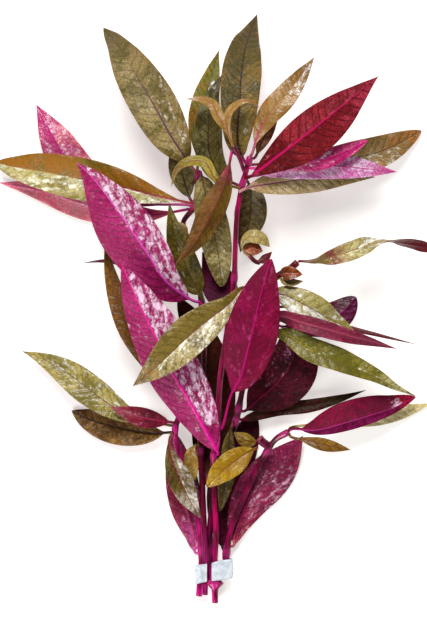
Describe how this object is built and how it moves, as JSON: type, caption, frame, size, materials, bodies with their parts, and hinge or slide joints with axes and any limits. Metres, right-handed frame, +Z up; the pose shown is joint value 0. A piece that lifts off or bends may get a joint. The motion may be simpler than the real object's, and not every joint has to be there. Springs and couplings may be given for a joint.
{
  "type": "bunch of alternanthera sessilis",
  "caption": "Cut bunch of wet alternanthera sessilis, narrow olive and magenta leaves on pink stems, tied near the cut ends with a lead strip and lying flat.",
  "frame": {"origin": "centre of the bunch's box in plan, on the surface that it lies on", "axes": "+Z up from the surface, +Y from the cut stem ends to the crown, +X to the right seen from above"},
  "size_m": [0.176, 0.2362, 0.0391],
  "materials": {
    "olive_leaf": "wet leaf, upper side, olive with pale quilting between dark veins and white glints",
    "bronze_leaf": "wet leaf, bronze to orange brown",
    "yellow_leaf": "thin wet leaf, ageing to yellow and tan",
    "magenta_leaf": "wet leaf, underside, magenta with a hot pink midrib and broken white glare",
    "crimson_leaf": "leaf underside, matte crimson with a magenta midrib and dark veins",
    "plum_leaf": "shaded leaf, dark plum",
    "stem_skin": "smooth wet stem, magenta to dark red",
    "lead": "soft pale lead strip, lightly creased, matte"
  },
  "bodies": {
    "root": {"stem_crown": "stem_skin", "stem_left": "stem_skin", "stem_low_left": "stem_skin", "stem_right": "stem_skin", "stem_low_right": "stem_skin", "crown_leaf_big_left": "olive_leaf", "crown_leaf_tall": "olive_leaf", "crown_leaf_ochre": "bronze_leaf", "crown_leaf_dark": "olive_leaf", "crown_leaf_slim": "yellow_leaf", "crown_leaf_crimson": "crimson_leaf", "crown_leaf_pink": "magenta_leaf", "crown_leaf_tucked_pink": "magenta_leaf", "crown_leaf_right": "olive_leaf", "crown_leaf_level": "olive_leaf", "crown_leaf_folded": "olive_leaf", "crown_leaf_curled": "yellow_leaf", "crown_leaf_behind": "olive_leaf", "crown_leaf_hanging": "olive_leaf", "crown_leaf_shadow": "olive_leaf", "crown_leaf_small": "olive_leaf", "left_leaf_bronze": "bronze_leaf", "left_leaf_pink": "magenta_leaf", "left_leaf_coral": "magenta_leaf", "centre_leaf_magenta": "magenta_leaf", "centre_leaf_long": "magenta_leaf", "left_leaf_shaded": "bronze_leaf", "left_leaf_thread": "plum_leaf", "centre_leaf_striped": "olive_leaf", "centre_leaf_top": "crimson_leaf", "centre_leaf_green": "olive_leaf", "centre_leaf_tan": "yellow_leaf", "centre_leaf_purple": "plum_leaf", "centre_leaf_hidden": "olive_leaf", "right_leaf_twisted": "olive_leaf", "right_leaf_wet": "olive_leaf", "right_leaf_crimson": "crimson_leaf", "right_leaf_thin": "plum_leaf", "right_leaf_purple": "plum_leaf", "right_leaf_green": "olive_leaf", "right_leaf_plum": "plum_leaf", "right_leaf_band": "olive_leaf", "right_leaf_magenta": "magenta_leaf", "right_leaf_pale": "yellow_leaf", "right_leaf_small_bronze": "bronze_leaf", "low_leaf_yellow": "yellow_leaf", "low_leaf_little_yellow": "yellow_leaf", "low_leaf_plum": "magenta_leaf", "low_leaf_dark": "plum_leaf", "low_leaf_crimson": "crimson_leaf", "low_leaf_silver": "olive_leaf", "low_leaf_tan": "yellow_leaf", "low_leaf_olive": "olive_leaf", "left_leaf_pale": "yellow_leaf", "left_leaf_brown": "olive_leaf", "left_leaf_violet": "magenta_leaf", "crown_young_pair": "yellow_leaf", "right_young_shoot": "bronze_leaf", "right_side_shoot": "bronze_leaf", "lead_strip": "lead"}
  },
  "joints": []
}
